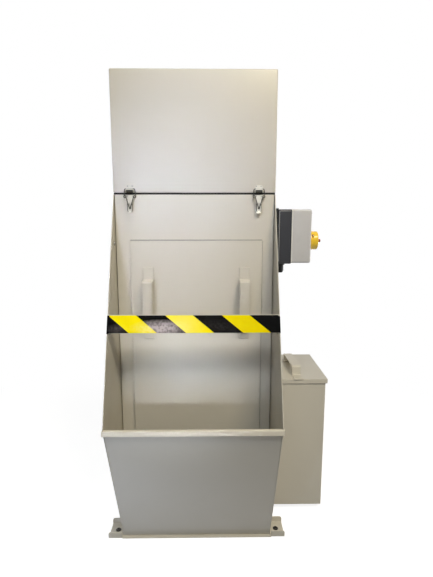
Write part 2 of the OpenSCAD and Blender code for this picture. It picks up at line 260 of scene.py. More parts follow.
weldPaint, tree, shader, place = startMaterial("powderCoatOverWeld", powderCoat["colour"], 0.42, IOR=1.5)
ripple = addNode(tree, "ShaderNodeTexNoise", {
    "Vector": place, "Scale": 1000 / weldRun["ripple"], "Detail": 2.0})
tone = addNode(tree, "ShaderNodeMix", {
    0: ripple.outputs["Fac"], 6: hexToLinear(weldRun["valleyShade"]), 7: hexToLinear(weldRun["crestLight"])},
    data_type="RGBA")
tree.links.new(tone.outputs[2], shader.inputs["Base Color"])
addRelief(tree, shader, place, weldRun["ripple"], weldRun["depth"], 2.0, 0.6)

# Rim channel: its coat is painted a shade paler than the rest, a painted highlight for the light that its
# band catches
litRimPaint = coatedFinish("powderCoatPaintedLitRim", dict(powderCoat, colour="#EEE7D8", thin="#E8E1D0"))

# Vinyl hazard tape: calendered PVC film, glossy, printed in slanting stripes. Its pale patches are partly
# scuffs and partly a
# # painted sheen of reflected light. A patch is its middle (x, z), its reach (x, z) and how pale it is; one
# more is paler towards the middle
hazardTape = {
    "yellow": "#FFEE00",
    "yellowDeep": "#FBE200",
    "yellowPale": "#FEF48C",
    "black": "#060607",
    "blackScuffSheen": "#C0B4B3",
    "pitch": 200,
    "band": 98.5,
    "lean": 1.2,
    "phase": -262.0,
    "ends": (-296.5, 293),
    "scuffSheens": ((-115, 929, 92, 24, 1.45), (-268, 926, 36, 15, 0.15), (90, 932, 110, 32, 0.035)),
    "paleMiddle": (-40, 938, 70, 60, 0.5),
    "flecks": 9,
    "clouds": 16.67,
    "crease": 22,
    "creaseDepth": 0.6,
}

tape, tree, shader, place = startMaterial(
    "stripedPvcTape", hazardTape["yellow"], 0.3, **{"IOR": 1.53, "Specular IOR Level": 0.04})
axes = addNode(tree, "ShaderNodeSeparateXYZ", {0: place})
climb = addNode(tree, "ShaderNodeMath", {0: axes.outputs["Z"], 1: -body["barZ"] / 1000}, operation="ADD")
along = addNode(tree, "ShaderNodeMath", {
    0: climb.outputs[0], 1: hazardTape["lean"] / math.cos(body["wingTilt"]), 2: axes.outputs["X"]},
    operation="MULTIPLY_ADD")

# 1 on a yellow stripe: the way along the bar in turns of the pitch, then its fraction, cut off at both ends
stripe = along.outputs[0]
for operation, value in (("ADD", -hazardTape["phase"] / 1000), ("MULTIPLY", 1000 / hazardTape["pitch"]),
        ("FRACT", 0.0), ("LESS_THAN", hazardTape["band"] / hazardTape["pitch"])):
    stripe = addNode(tree, "ShaderNodeMath", {0: stripe, 1: value}, operation=operation).outputs[0]
for operation, end in zip(("GREATER_THAN", "LESS_THAN"), hazardTape["ends"]):
    inside = addNode(tree, "ShaderNodeMath", {0: axes.outputs["X"], 1: end / 1000}, operation=operation)
    stripe = addNode(tree, "ShaderNodeMath", {
        0: stripe, 1: inside.outputs[0]}, operation="MULTIPLY").outputs[0]
rub = addNode(tree, "ShaderNodeTexNoise", {
    "Vector": place, "Scale": 1000 / hazardTape["clouds"], "Detail": 5.0})
crumbs = addNode(tree, "ShaderNodeTexNoise", {
    "Vector": place, "Scale": 1000 / hazardTape["flecks"], "Detail": 2.0})
flecks = addNode(tree, "ShaderNodeMapRange", {
    "Value": crumbs.outputs["Fac"], "From Min": 0.36, "From Max": 0.64, "To Min": 0.45, "To Max": 1.0})


# An oval patch of the tape's face that fades out towards its edge
def ovalPatch(x, z, reachX, reachZ, pale):
    offset = addNode(tree, "ShaderNodeMapping", {
        "Vector": place, "Location": (x / 1000, 0, z / 1000), "Scale": (reachX / 1000, 1000, reachZ / 1000)},
        vector_type="TEXTURE")
    away = addNode(tree, "ShaderNodeVectorMath", {0: offset.outputs[0]}, operation="LENGTH")
    return addNode(tree, "ShaderNodeMapRange", {
        "Value": away.outputs["Value"], "From Min": 1.25, "From Max": 0.1, "To Min": 0.0, "To Max": pale})


# Pale patches, partly scuffs and partly a painted sheen of reflected light, lighten the black ink and the
# yellow film
scuffSheenMask = None
for scuffSheen in hazardTape["scuffSheens"]:
    scuffSheenPatch = ovalPatch(*scuffSheen)
    patch = addNode(tree, "ShaderNodeMath", {0: scuffSheenPatch.outputs[0], 1: flecks.outputs[0]}, operation="MULTIPLY")
    if scuffSheenMask:
        patch = addNode(tree, "ShaderNodeMath", {
            0: scuffSheenMask.outputs[0], 1: patch.outputs[0]}, operation="MAXIMUM")
    scuffSheenMask = patch
ink = addNode(tree, "ShaderNodeMix", {
    0: scuffSheenMask.outputs[0], 6: hexToLinear(hazardTape["black"]), 7: hexToLinear(hazardTape["blackScuffSheen"])},
    data_type="RGBA")
film = addNode(tree, "ShaderNodeMix", {
    0: rub.outputs["Fac"], 6: hexToLinear(hazardTape["yellow"]), 7: hexToLinear(hazardTape["yellowDeep"])},
    data_type="RGBA")
for palest in (ovalPatch(*hazardTape["paleMiddle"]), scuffSheenMask):
    film = addNode(tree, "ShaderNodeMix", {
        0: palest.outputs[0], 6: film.outputs[2], 7: hexToLinear(hazardTape["yellowPale"])},
        data_type="RGBA")
printed = addNode(tree, "ShaderNodeMix", {
    0: stripe, 6: ink.outputs[2], 7: film.outputs[2]}, data_type="RGBA")
tree.links.new(printed.outputs[2], shader.inputs["Base Color"])
gloss = addNode(tree, "ShaderNodeMapRange", {"Value": rub.outputs["Fac"], "To Min": 0.24, "To Max": 0.38})
tree.links.new(gloss.outputs[0], shader.inputs["Roughness"])
addRelief(tree, shader, place, hazardTape["crease"], hazardTape["creaseDepth"], 3.0, 0.5)


# One tone fading into another in soft clouds, with a fine grain in the surface
def plainFinish(name, pale, deep, grain, depth, roughness, metallic=0.0, **sockets):
    material, tree, shader, place = startMaterial(name, pale, sum(roughness) / 2, metallic, **sockets)
    cloud = 33.33  # width in millimetres of the clouds of tone and gloss
    broad = addNode(tree, "ShaderNodeTexNoise", {"Vector": place, "Scale": 1000 / cloud, "Detail": 2.0})
    tone = addNode(tree, "ShaderNodeMix", {
        0: broad.outputs["Fac"], 6: hexToLinear(pale), 7: hexToLinear(deep)}, data_type="RGBA")
    tree.links.new(tone.outputs[2], shader.inputs["Base Color"])
    gloss = addNode(tree, "ShaderNodeMapRange", {
        "Value": broad.outputs["Fac"], "To Min": roughness[0], "To Max": roughness[1]})
    tree.links.new(gloss.outputs[0], shader.inputs["Roughness"])
    addRelief(tree, shader, place, grain, depth, 3.0)
    return material


# Bright zinc plate over pressed steel: a clean silver with a soft crystalline cloud
zinc = plainFinish("brightZincPlate", "#DEDBD2", "#C2BFB6", 1.5, 0.01, (0.34, 0.46), 1.0)
# Spring wire: drawn steel under the same zinc, painted dark grey as painted shade and dark reflections,
# greyer in its coils
shadedSpringWire = plainFinish("zincSpringWirePaintedDark", "#54534E", "#403F3B", 1.0, 0.01, (0.28, 0.38), 1.0)
# Stainless steel, turned and headed: a plain even grey shine on rivets and bolts
stainless = plainFinish("stainlessFastener", "#B4B2AC", "#9C9A94", 0.8, 0.01, (0.25, 0.35), 1.0)
# EPDM sponge rubber: matt black with open pores
rubber = plainFinish("epdmSpongeRubber", "#11100F", "#181716", 1.2, 0.08, (0.78, 0.92),
    **{"IOR": 1.52, "Specular IOR Level": 0.2})
# Glass-filled nylon: black with a fine matt grain
nylon = plainFinish("blackNylon", "#101010", "#161617", 0.8, 0.03, (0.42, 0.55),
    **{"IOR": 1.53, "Specular IOR Level": 0.25})
# ABS, moulded in a spark-eroded tool: a satin face with a fine even grain
darkAbs = plainFinish("darkGreyAbs", "#2B2C31", "#25262B", 0.9, 0.03, (0.42, 0.55),
    **{"IOR": 1.54, "Specular IOR Level": 0.35})
paleAbs = plainFinish("paleGreyAbs", "#D3D2D4", "#CBCACC", 0.9, 0.03, (0.38, 0.5), IOR=1.54)
# Polycarbonate, moulded in a polished tool: deep colour under a clear gloss
yellowPc = plainFinish("yellowPolycarbonate", "#FFD624", "#FBCA1A", 1.6, 0.01, (0.22, 0.34), IOR=1.585)
redPc = plainFinish("redPolycarbonate", "#A8261B", "#921C14", 1.6, 0.01, (0.22, 0.34), IOR=1.585)
# Closed-cell foam cord, extruded: matt white, squeezed between two mouldings
foam = plainFinish("whiteFoamCord", "#F4F3F0", "#E9E8E4", 1.0, 0.04, (0.7, 0.85), IOR=1.5)
# Black-oxide steel: a dark soft shine
blackSteel = plainFinish("blackOxideSteel", "#4B4A48", "#3A3937", 0.9, 0.01, (0.3, 0.42), 1.0)
print("finishes made")


# A mesh made in millimetres, closed and scaled to metres
def closedMesh(name, bm):
    bmesh.ops.scale(bm, vec=(0.001, 0.001, 0.001), verts=bm.verts)
    bmesh.ops.recalc_face_normals(bm, faces=bm.faces)
    mesh = bpy.data.meshes.new(name)
    bm.to_mesh(mesh)
    bm.free()
    return mesh


def smoothFaces(mesh, sharp=32):
    mesh.polygons.foreach_set("use_smooth", [True] * len(mesh.polygons))
    mesh.set_sharp_from_angle(angle=math.radians(sharp))


# Makes a piece of a mesh and hands it to its body, in place of the CAD nodes that it stands for
def finishPiece(name, bm, material, rides, stands=(), soften=0.0, rounds=2, sharp=32):
    mesh = closedMesh(name, bm)
    smoothFaces(mesh, sharp)
    for one in material if isinstance(material, list) else [material]:
        mesh.materials.append(one)
    piece = bpy.data.objects.new(name, mesh)
    bpy.context.scene.collection.objects.link(piece)
    if soften:
        bevel = piece.modifiers.new("softEdges", "BEVEL")
        bevel.width = soften / 1000
        bevel.segments = rounds
        bevel.limit_method = "ANGLE"
        bevel.angle_limit = math.radians(40)
        bevel.harden_normals = True
    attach(piece, rides)
    if stands:
        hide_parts(*stands)
    return piece


# Skins rings of equally many points; the ends are capped, or joined to each other when closed
def addLoops(bm, loops, closed=False, slotIndex=0):
    rings = [[bm.verts.new(p) for p in loop] for loop in loops]
    pairs = list(zip(rings, rings[1:])) + ([(rings[-1], rings[0])] if closed else [])
    for low, high in pairs:
        for k in range(len(low)):
            n = (k + 1) % len(low)
            bm.faces.new((low[k], low[n], high[n], high[k])).material_index = slotIndex
    if not closed:
        bm.faces.new(rings[0][::-1]).material_index = slotIndex
        bm.faces.new(rings[-1]).material_index = slotIndex


# Pushes a flat outline from lo to hi; place turns (u, v, depth) into a point
def addPrism(bm, outline, lo, hi, place, slotIndex=0):
    addLoops(bm, [[place(u, v, d) for u, v in outline] for d in (lo, hi)], slotIndex=slotIndex)


def alongX(u, v, d):
    return (d, u, v)


def alongY(u, v, d):
    return (u, d, v)


def alongZ(u, v, d):
    return (u, v, d)


def roundedRing(halfU, halfV, radius, steps=5):
    ring = []
    for turn, (su, sv) in enumerate(((1, 1), (-1, 1), (-1, -1), (1, -1))):
        for k in range(steps + 1):
            a = math.pi / 2 * (turn + k / steps)
            u, v = su * (halfU - radius), sv * (halfV - radius)
            ring.append((u + radius * math.cos(a), v + radius * math.sin(a)))
    return ring


# A pressed or folded box: rounded rings that step in by an inset at each height
def addShell(bm, middle, half, radius, profile, place, closed=False, steps=5):
    loops = []
    for inset, height in profile:
        ring = roundedRing(half[0] - inset, half[1] - inset, max(radius - inset, 0.4), steps)
        loops.append([place(middle[0] + u, middle[1] + v, height) for u, v in ring])
    addLoops(bm, loops, closed)


# Points of an arc, angles in degrees
def bend(centre, radius, first, last, steps=4):
    turns = [math.radians(first + (last - first) * k / steps) for k in range(steps + 1)]
    return [(centre[0] + radius * math.cos(a), centre[1] + radius * math.sin(a)) for a in turns]


# The same run of points with its inner corners turned into arcs
def roundPath(points, radii, steps=5):
    if not isinstance(radii, (list, tuple)):
        radii = [radii] * (len(points) - 2)
    path = [Vector(points[0])]
    for before, corner, after, radius in zip(points, points[1:], points[2:], radii):
        a, b, c = Vector(before), Vector(corner), Vector(after)
        come, go = (b - a).normalized(), (c - b).normalized()
        turn = math.atan2(come.x * go.y - come.y * go.x, come.dot(go))
        if radius <= 0 or abs(turn) < 0.01:
            path.append(b)
            continue
        start = b - come * radius * math.tan(abs(turn) / 2)
        side = Vector((-come.y, come.x)) * (1 if turn > 0 else -1)
        pivot = start + side * radius
        arm = start - pivot
        for k in range(steps + 1):
            path.append(pivot + Matrix.Rotation(turn * k / steps, 2) @ arm)
    path.append(Vector(points[-1]))
    return path


# Outline of a sheet whose one face is the path and whose other face lies to its left
def sheetOutline(path, thickness):
    other = []
    for k, point in enumerate(path):
        come = (path[k] - path[k - 1]).normalized() if k else (path[1] - path[0]).normalized()
        go = (path[k + 1] - path[k]).normalized() if k + 1 < len(path) else come
        normal = Vector((-come.y, come.x)) + Vector((-go.y, go.x))
        normal.normalize()
        stretch = thickness / max(normal.dot(Vector((-come.y, come.x))), 0.3)
        other.append(point + normal * stretch)
    return [tuple(p) for p in path] + [tuple(p) for p in reversed(other)]


# Turns a profile of (radius, height) about an axis; place turns (u, v, height) into a point
def addTurned(bm, profile, place, steps=32, closed=False):
    rings = []
    for radius, height in profile:
        spin = [2 * math.pi * k / steps for k in range(steps)]
        rings.append([place(radius * math.cos(a), radius * math.sin(a), height) for a in spin])
    addLoops(bm, rings, closed)


# A round wire through points, with no twist
def addWire(bm, points, radius, closed=False, sides=10):
    points = [Vector(p) for p in points]
    count = len(points)
    loops, normal = [], None
    for k, point in enumerate(points):
        before = points[k - 1] if k or closed else point
        after = points[(k + 1) % count] if k + 1 < count or closed else point
        way = (after - before).normalized()
        if normal is None:
            normal = way.orthogonal().normalized()
        normal = (normal - way * normal.dot(way)).normalized()
        cross = way.cross(normal)
        spin = [2 * math.pi * j / sides for j in range(sides)]
        loops.append([point + (normal * math.cos(a) + cross * math.sin(a)) * radius for a in spin])
    addLoops(bm, loops, closed)


# Drills a round hole through a piece, before its edges are softened; place turns (u, v, depth) into a point
def drillHole(piece, radius, reach, place, steps):
    bm = bmesh.new()
    addTurned(bm, [(radius, -reach), (radius, reach)], place, steps)
    tool = bpy.data.objects.new("drill", closedMesh("drill", bm))
    bpy.context.scene.collection.objects.link(tool)
    cut = piece.modifiers.new("cut", "BOOLEAN")
    cut.object = tool
    cut.solver = "EXACT"
    while piece.modifiers[0] != cut:
        bpy.context.view_layer.objects.active = piece
        bpy.ops.object.modifier_move_up(modifier=cut.name)
    others = [m for m in piece.modifiers if m != cut]
    shown = [m.show_viewport for m in others]
    for m in others:
        m.show_viewport = False
    graph = bpy.context.evaluated_depsgraph_get()
    piece.data = bpy.data.meshes.new_from_object(piece.evaluated_get(graph))
    piece.modifiers.remove(cut)
    for m, show in zip(others, shown):
        m.show_viewport = show
    bpy.data.objects.remove(tool)
    smoothFaces(piece.data)


# The CAD plates again, welded to clean faces with softened edges
def softCopy(name, nodeNames, material, rides, soften=0.8, rounds=2):
    bm = bmesh.new()
    for nodeName in nodeNames:
        bm.from_mesh(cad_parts[nodeName].data)
    bmesh.ops.remove_doubles(bm, verts=bm.verts, dist=0.00001)
    bmesh.ops.dissolve_limit(bm, angle_limit=math.radians(1), verts=bm.verts, edges=bm.edges)
    bmesh.ops.scale(bm, vec=(1000, 1000, 1000), verts=bm.verts)
    return finishPiece(name, bm, material, rides, nodeNames, soften, rounds)


tilt = Matrix.Rotation(-body["wingTilt"], 3, "X")
barY = body["front"] - (body["seam"] - body["barZ"]) * math.tan(body["wingTilt"])
barMiddle = Vector((0, barY, body["barZ"]))


# Measures on the wings' sloping edges: u across, v up the slope and d out of their plane
def onWings(u, v, d):
    return tuple(barMiddle + tilt @ Vector((u, -d, v)))


def boxOutline(u0, u1, v0, v1):
    return [(u0, v0), (u1, v0), (u1, v1), (u0, v1)]


# An axis through a point, along +X, -X, -Y, +Y, +Z or -Z
def turnedAt(x, y, z, way):
    frames = {
        "+X": lambda u, v, h: (x + h, y + u, z + v),
        "-X": lambda u, v, h: (x - h, y - u, z + v),
        "-Y": lambda u, v, h: (x + u, y - h, z + v),
        "+Y": lambda u, v, h: (x - u, y + h, z + v),
        "+Z": lambda u, v, h: (x + u, y + v, z + h),
        "-Z": lambda u, v, h: (x + u, y - v, z - h),
    }
    return frames[way]


# Where rays from a centre cross an outline round it
def crossings(outline, centre, turns):
    ring = []
    for turn in turns:
        way = Vector((math.cos(turn), math.sin(turn)))
        for start, end in zip(outline, outline[1:] + outline[:1]):
            a, edge = Vector(start) - Vector(centre), Vector(end) - Vector(start)
            slant = way.x * edge.y - way.y * edge.x
            if abs(slant) < 1e-9:
                continue
            far = (a.x * edge.y - a.y * edge.x) / slant
            part = (a.x * way.y - a.y * way.x) / slant
            if far > 0 and -1e-6 <= part <= 1 + 1e-6:
                ring.append((centre[0] + way.x * far, centre[1] + way.y * far))
                break
    return ring


# Profile of a rivet's or button screw's head
def domeHead(radius, height, seat=0.0):
    return [(radius, -seat), (radius, height * 0.25)] + [
        (radius * math.cos(a), height * (0.25 + 0.75 * math.sin(a))) for a in (0.35, 0.7, 1.05, 1.35)]


# A ring of six corners at a height
def hexRing(radius, height, place):
    return [place(radius * math.cos(k * math.pi / 3), radius * math.sin(k * math.pi / 3), height)
        for k in range(6)]


# Hexagon head on a washer, its corners turned off
def addHexHead(bm, across, height, place):
    washer, thick, r = across * 0.95, 1.4, across / math.sqrt(3)
    addTurned(bm, [(washer, 0), (washer, 1.0), (across * 0.9, thick), (across * 0.4, thick)], place, 24)
    corners = ((1, 1.2), (1, height * 0.86), (0.88, height))
    addLoops(bm, [hexRing(r * scale, up, place) for scale, up in corners])


# Housing: one welded shell with folded corners, and a flange turned in at its foot
housing = {"corner": 5.5, "bend": 4.5, "flange": 24, "foot": 1403, "ductZ": 1620, "ductHole": 97}
bm = bmesh.new()
outer, inner = housing["bend"], housing["bend"] - body["sheet"]
top, foot = body["top"] - outer, housing["foot"] + outer
profile = bend((outer, top), outer, 90, 180) + bend((outer, foot), outer, 180, 270)
profile += [(housing["flange"], housing["foot"]), (housing["flange"], housing["foot"] + body["sheet"])]
profile += bend((outer, foot), inner, 270, 180) + bend((outer, top), inner, 180, 90)
addShell(bm, (0, 0), (body["half"], body["back"]), housing["corner"], profile, alongZ)
housingShell = finishPiece("housingShell", bm, paint, "collector",
    ("housing_front", "housing_left", "housing_right", "housing_back", "housing_top"))
outlet = turnedAt(0, body["back"], housing["ductZ"], "+Y")
drillHole(housingShell, housing["ductHole"], 12, outlet, 96)

# Air outlet: spun collar with a clamp groove, on a riveted flange
duct = {"radius": 100, "bore": 97, "flange": 118, "plate": 3, "length": 40, "rivets": 8, "rivetRing": 110}
bm = bmesh.new()
r, b, edge, plate, end = (duct[key] for key in ("radius", "bore", "flange", "plate", "length"))
profile = [(b, 0), (edge - 0.6, 0), (edge, 0.8), (edge - 0.6, plate), (r + 3, plate), (r + 0.9, plate + 0.9)]
profile += [(r, 6), (r, 15), (r - 0.9, 16.5), (r - 0.9, 18.5), (r, 20), (r, end - 1.2), (r - 0.8, end)]
profile += [(b + 0.7, end), (b, end - 0.8)]
addTurned(bm, profile, outlet, 96, closed=True)
finishPiece("outletCollar", bm, paint, "collector", ("exhaust_collar",))
bm = bmesh.new()
for k in range(duct["rivets"]):
    a = 2 * math.pi * (k + 0.5) / duct["rivets"]
    x, z = duct["rivetRing"] * math.cos(a), housing["ductZ"] + duct["rivetRing"] * math.sin(a)
    addTurned(bm, domeHead(4.5, 2.4, 0.3), turnedAt(x, body["back"] + plate, z, "+Y"), 16)
finishPiece("outletRivets", bm, stainless, "collector")

# Seam gasket: sponge strip squeezed a little between column and housing
softCopy("seamGasket", ["seam_gasket"], rubber, "collector", 1.6, 3)
print("housing made")

# Column: front sheet with the access opening, back sheet, and side plates that run on as wings
opening = {"middle": 5, "half": 218, "low": 426, "high": 1192, "foot": 380, "joint": 2.8, "fold": 2.8}
bm = bmesh.new()
front, behind, top = body["front"], body["front"] + body["sheet"], body["columnTop"]
reach = body["inner"] - opening["joint"]
outerRect = boxOutline(-reach, reach, opening["foot"], top)
innerRect = boxOutline(opening["middle"] - opening["half"], opening["middle"] + opening["half"],
    opening["low"], opening["high"])
loops = [[alongY(u, v, d) for u, v in rect] for rect, d in (
    (outerRect, front), (innerRect, front), (innerRect, behind), (outerRect, behind))]
addLoops(bm, loops, closed=True)
fold = [e for e in bm.edges if all(v.co.y < front + 1 and v.co.z > top - 1 for v in e.verts)]
bmesh.ops.bevel(bm, geom=fold, offset=opening["fold"], segments=5, profile=0.5, affect="EDGES")
finishPiece("columnFront", bm, paint, "collector",
    ("front_wall_upper", "front_wall_left", "front_wall_right", "front_wall_lower"), 0.9)
softCopy("columnBack", ["back_wall"], paint, "collector", 1.0)

# Wings: the rim's channel sits in the notch at their front
wing = {"slopeY": -544.3, "toe": 7}
rim = [(body["rimBack"], body["rimLow"]), (body["rimBack"], body["rimZ"]), (body["rimY"], body["rimZ"])]
back, foot = body["back"], body["foot"]
slope = roundPath([(back, foot), (body["toeY"], foot), (wing["slopeY"], body["rimLow"])], wing["toe"])
plate = [tuple(p) for p in slope] + rim + [(front - 0.5, top), (back, top)]
for side, low in (("left", -body["half"]), ("right", body["inner"])):
    bm = bmesh.new()
    addPrism(bm, plate, low, low + body["sheet"], alongX)
    finishPiece(side + "Wing", bm, paint, "collector", (side + "_side_plate",), 0.9)

# Trough: floor and sloping front folded from one sheet, its rim a rolled channel with closed ends
trough = {"lipY": -549, "lipZ": 600, "bend": 7, "gap": 0.2, "rimHalf": 308, "rimEnd": 1.5, "rimBend": 2.6,
    "rimSheet": 2.5, "rimFold": -549.5}
bm = bmesh.new()
path = roundPath([(trough["lipY"], trough["lipZ"]), (body["toeY"], foot), (back - body["sheet"], foot)],
    trough["bend"])
reach = body["inner"] - trough["gap"]
addPrism(bm, sheetOutline(path, body["sheet"]), -reach, reach, alongX)
finishPiece("troughPan", bm, paint, "collector", ("trough_front", "trough_floor"), 0.6)
bm = bmesh.new()
lip, reach, end = trough["rimBend"], trough["rimHalf"], trough["rimEnd"]
rim.append((body["rimY"], body["rimLow"]))
path = roundPath(rim + [(trough["rimFold"], body["rimLow"])], [lip, lip, 2])
addPrism(bm, sheetOutline(path, trough["rimSheet"]), 1.2 - reach, reach - 1.2, alongX)
for low in (-reach, reach - end):
    addPrism(bm, [tuple(p) for p in roundPath(rim, lip)], low, low + end, alongX)
finishPiece("troughRim", bm, litRimPaint, "collector", ("trough_rim",), 0.5)
print("column and trough made")

# Feet: channels whose lips are left standing only outside the body, with rounded ends
feet = {"y": 261, "half": 365, "deep": 45, "sheet": 5, "lip": 29, "lipFrom": 309, "bend": 7, "end": 9,
    "hole": 10, "holeX": 333}
for name, y in (("front", -feet["y"]), ("rear", feet["y"])):
    bm = bmesh.new()
    y0, y1, sheet, lip = y - feet["deep"], y + feet["deep"], feet["sheet"], feet["lip"]
    addPrism(bm, boxOutline(y0, y1, 0, sheet), -feet["lipFrom"], feet["lipFrom"], alongX)
    outline = sheetOutline(roundPath([(y0, lip), (y0, 0), (y1, 0), (y1, lip)], feet["bend"]), sheet)
    for s in (-1, 1):
        addPrism(bm, outline, s * (feet["lipFrom"] - 0.5), s * feet["half"], alongX)
    tips = {v for v in bm.verts if abs(abs(v.co.x) - feet["half"]) < 0.1 and abs(v.co.z - lip) < 0.1}
    corners = [e for e in bm.edges if tips.issuperset(e.verts) and e.calc_length() < sheet + 1]
    bmesh.ops.bevel(bm, geom=corners, offset=feet["end"], segments=5, profile=0.5, affect="EDGES")
    foot = finishPiece(name + "Foot", bm, paint, "collector", (name + "_foot",), 1.2)
    for s in (-1, 1):
        drillHole(foot, feet["hole"], 12, turnedAt(s * feet["holeX"], y, 0, "+Z"), 48)

# Floor bolts: low socket heads in black steel on washers, one in each hole
floorBolt = {"head": 8.6, "high": 5.2, "socket": 4.6, "deep": 3.4, "shank": 6, "washer": 11.5, "seat": 0.2,
    "washerTop": 1.4}
r, high, socket, deep, shank, washer, seat, top = floorBolt.values()
profile = [(shank, -4.6), (shank, seat), (washer, seat), (washer, top), (r, top), (r, high - 1)]
profile += [(r - 1, high), (socket, high), (socket - 0.4, high - 0.4), (socket - 0.4, high - deep)]
profile.append((0.8, high - deep - 0.6))
bm = bmesh.new()
for y in (-feet["y"], feet["y"]):
    for s in (-1, 1):
        addTurned(bm, profile, turnedAt(s * feet["holeX"], y, feet["sheet"], "+Z"), 36)
finishPiece("floorBolts", bm, blackSteel, "collector", sharp=40)
print("feet made")

# Hazard bar on the wing edges, its ends dressed back towards them
bar = {"rise": 31, "top": 34.2, "sheet": 3, "dress": 10, "edge": 0.6}


# The same, for an outline of (u, d) pushed up the slope
def acrossBar(u, d, v):
    return onWings(u, v, d)


bm = bmesh.new()
far, near = body["half"], body["half"] - bar["dress"]
outline = [(-far, 0), (far, 0), (far, bar["edge"]), (near, bar["sheet"])]
outline += [(-near, bar["sheet"]), (-far, bar["edge"])]
addPrism(bm, outline, -bar["rise"], bar["top"], acrossBar)
finishPiece("hazardBar", bm, paint, "collector", ("hazard_bar",), 0.7)

# Tape skin: round one wing, over the bar and round the other wing. Its left end droops, and a corner is torn
# off at the right
skin = {
    "top": 31.7,
    "hem": 0.4,
    "film": 0.35,
    "wrinkle": 0.35,
    "crumpleX": -115,
    "crumpleReach": 70,
    "wrap": 26,
    "droop": 3,
    "droopRun": 8,
    "chip": 5,
    "chipFrom": 296,
    "chipRun": 9,
    "step": 4,
    "rows": 16,
}


# How far the film stands off: soft wrinkles 20 to 150 mm long, deeper where it was stretched at the left
def filmLift(u, v):
    crumple = 0.5 + 0.5 * math.exp(-((u - skin["crumpleX"]) / skin["crumpleReach"]) ** 2)
    wave = math.sin(u * 0.11 + v * 0.21) * math.sin(u * 0.043 - v * 0.12 + 1.3)
    wave += 0.6 * math.sin(u * 0.27 - v * 0.35)
    return skin["film"] + skin["wrinkle"] * crumple * (0.5 + 0.3 * wave)


route = [Vector(p) for p in ((-far, -skin["wrap"]), (-far, bar["edge"]), (-near, bar["sheet"]),
    (near, bar["sheet"]), (far, bar["edge"]), (far, -skin["wrap"]))]
stations = []
for start, end in zip(route, route[1:]):
    steps = max(3, int((end - start).length / skin["step"]))
    stations += [(start.lerp(end, k / steps), (end - start).normalized()) for k in range(steps)]
stations.append((route[-1], (route[-1] - route[-2]).normalized()))
bm = bmesh.new()
loops = []
for k, (spot, way) in enumerate(stations):
    before = stations[max(k - 1, 0)][1]
    outward = Vector((-way.y, way.x)) + Vector((-before.y, before.x))
    outward.normalize()
    low, high = skin["hem"] - bar["rise"], skin["top"]
    if spot.x > skin["chipFrom"]:
        high -= skin["chip"] * min(1, (spot.x - skin["chipFrom"]) / skin["chipRun"])
    if spot.x < -near:
        low -= skin["droop"] * min(1, (-near - spot.x) / skin["droopRun"])
    face = []
    for j in range(skin["rows"] + 1):
        v = low + (high - low) * j / skin["rows"]
        flat = spot + outward * filmLift(spot.x, v)
        face.append(onWings(flat.x, v, flat.y))
    back = spot - outward * 0.5
    loops.append(face + [onWings(back.x, high, back.y), onWings(back.x, low, back.y)])
addLoops(bm, loops)
finishPiece("hazardTape", bm, tape, "collector", (), sharp=50)

# Angle brackets behind the bar, each bolted to its wing, and a bolt left in the left wing higher up
bracket = {"arm": 33, "leg": 30, "low": -41, "armLow": -30, "high": 19, "sheet": 3, "bend": 4, "gap": 0.1,
    "hex": 10, "bolts": (-27, 5), "boltBack": -17, "wingBolt": (-274, 1216)}
bm, bolts = bmesh.new(), bmesh.new()
reach, leg = body["inner"] - bracket["gap"], bracket["leg"]
for s in (-1, 1):
    back, outer, inner = -0.05, s * reach, s * (reach - bracket["sheet"])
    path = roundPath([(s * (far - bracket["arm"]), back), (outer, back), (outer, -leg)], bracket["bend"])
    outline = sheetOutline(path if s < 0 else path[::-1], bracket["sheet"])
    addPrism(bm, outline, bracket["armLow"], bracket["high"], acrossBar)
    outline = [(inner, -7), (outer, -7), (outer, -leg), (inner, -leg)]
    addPrism(bm, outline, bracket["low"], bracket["armLow"] + 0.5, acrossBar)
    for v in bracket["bolts"]:
        spot = onWings(inner, v, bracket["boltBack"])
        addHexHead(bolts, bracket["hex"], 5.5, turnedAt(*spot, "+X" if s < 0 else "-X"))
addHexHead(bolts, bracket["hex"], 4, turnedAt(-body["inner"], *bracket["wingBolt"], "+X"))
finishPiece("barBrackets", bm, paint, "collector", ("bar_brackets",), 0.5)
finishPiece("bracketBolts", bolts, stainless, "collector")
print("hazard bar made")

# Access panel: a shallow tray on a sponge seal
panel = {"middle": (5, 809), "half": (252, 417), "corner": 3, "bend": 2.6, "face": -264, "back": -253,
    "lipReach": 0.3, "lipY": -251.7, "lipRound": 5, "lipWire": 1.5}
bm = bmesh.new()
r, sheet, front, back = panel["bend"], body["sheet"], panel["face"], panel["back"]
profile = bend((r, front + r), r, 270, 180) + [(0, back), (sheet, back), (sheet, front + sheet + 1)]
profile += [(sheet + 1, front + sheet)]
addShell(bm, panel["middle"], panel["half"], panel["corner"], profile, alongY)
finishPiece("accessPanel", bm, paint, "access_panel", ("access_panel",), 0.4)
softCopy("panelSeal", ["panel_seal"], rubber, "access_panel", 0.8)

# The seal's lip, squeezed out a little past the tray's edge; its black also stands in for the thin shadow
# line round the tray, a painted shade
bm = bmesh.new()
ring = roundedRing(*[half + panel["lipReach"] for half in panel["half"]], panel["lipRound"])
points = [alongY(panel["middle"][0] + u, panel["middle"][1] + v, panel["lipY"]) for u, v in ring]
addWire(bm, points, panel["lipWire"], closed=True)
finishPiece("sealLip", bm, rubber, "access_panel", ())

strap = {"half": 139, "foot": 46, "slant": 2, "rise": 45, "thick": 5, "width": 38, "bend": 8, "bead": 2.1,
    "beadStep": 2.2, "x": {"Left": -179, "Right": 189}, "z": 984}


